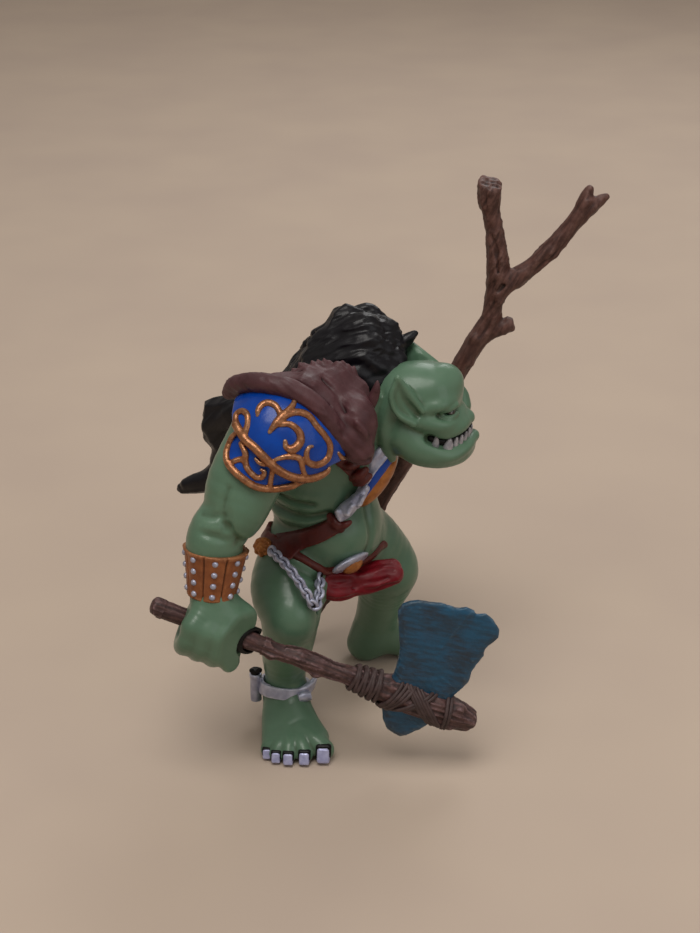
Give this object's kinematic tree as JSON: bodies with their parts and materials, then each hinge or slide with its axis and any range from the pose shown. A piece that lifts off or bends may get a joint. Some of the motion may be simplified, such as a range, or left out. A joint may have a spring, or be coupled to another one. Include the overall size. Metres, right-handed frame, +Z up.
{
  "type": "painted miniature figure",
  "caption": "Hunched ogre play figure with a stone-headed axe and a forked staff; both weapons turn in the fists and pull apart at a push-fit spigot.",
  "frame": {"origin": "on the ground, under the middle of the bounding box", "axes": "+Z up, the figure looks along +X, its right hand side and the axe are on -Y"},
  "size_m": [0.1072, 0.078, 0.1269],
  "materials": {
    "skin": "green painted vinyl, semi-gloss",
    "eye": "black painted eye, gloss",
    "tooth": "off-white paint, gloss",
    "nail": "pale lilac-silver paint, satin",
    "hair": "black-brown painted hair, gloss",
    "hide": "red-brown painted hide, satin",
    "enamel": "blue enamel paint, high gloss",
    "gilt": "copper-gold metallic paint",
    "silver": "silver metallic paint",
    "bracer_leather": "tan-copper painted leather, satin",
    "strap_leather": "dark red-brown painted leather, satin",
    "scarlet_cloth": "crimson painted cloth, satin",
    "wood": "dark brown painted wood, dry-brushed",
    "stone": "slate-blue painted stone, satin",
    "cord": "grey-brown painted lashing cord"
  },
  "bodies": {
    "figure": {"torso": "skin", "head": "skin", "eyes": "eye", "teeth": "tooth", "arm_right": "skin", "hand_right": "skin", "arm_left": "skin", "hand_left": "skin", "leg_right": "skin", "leg_left": "skin", "toenails_right": "nail", "toenails_left": "nail", "hair_mane": "hair", "hair_tail": "hair", "shoulder_pelt": "hide", "pauldron_dome": "enamel", "pauldron_lame": "enamel", "bracer": "bracer_leather", "bracer_studs": "silver", "shoulder_strap": "strap_leather", "chest_strap": "strap_leather", "strap_fitting": "silver", "medallion_frame": "silver", "medallion_plate": "enamel", "waist_belt": "strap_leather", "belt_buckle": "gilt", "hip_rosette": "gilt", "hip_chain": "silver", "loincloth": "scarlet_cloth", "ankle_shackle": "silver", "shackle_bolts": "silver"},
    "axe_grip": {"axe_butt": "wood"},
    "axe": {"axe_handle": "wood", "axe_blade": "stone", "axe_lashing": "cord"},
    "staff": {"staff_shaft": "wood"},
    "staff_top": {"staff_fork": "wood"}
  },
  "joints": [
    {"name": "axe_roll", "type": "hinge", "parent": "figure", "child": "axe_grip", "pos_m": [-0.03915, -0.0324, 0.0376], "axis": [0.9239, 0, -0.3827], "range_deg": [-50, 120]},
    {"name": "axe_draw", "type": "slide", "parent": "axe_grip", "child": "axe", "axis": [0.9239, 0, -0.3827], "range_m": [0, 0.012]},
    {"name": "staff_turn", "type": "hinge", "parent": "figure", "child": "staff", "pos_m": [-0.02215, 0.0236, 0.0026], "axis": [0.4756, 0, 0.8796], "continuous": true},
    {"name": "staff_draw", "type": "slide", "parent": "staff", "child": "staff_top", "axis": [0.4756, 0, 0.8796], "range_m": [0, 0.012]}
  ]
}
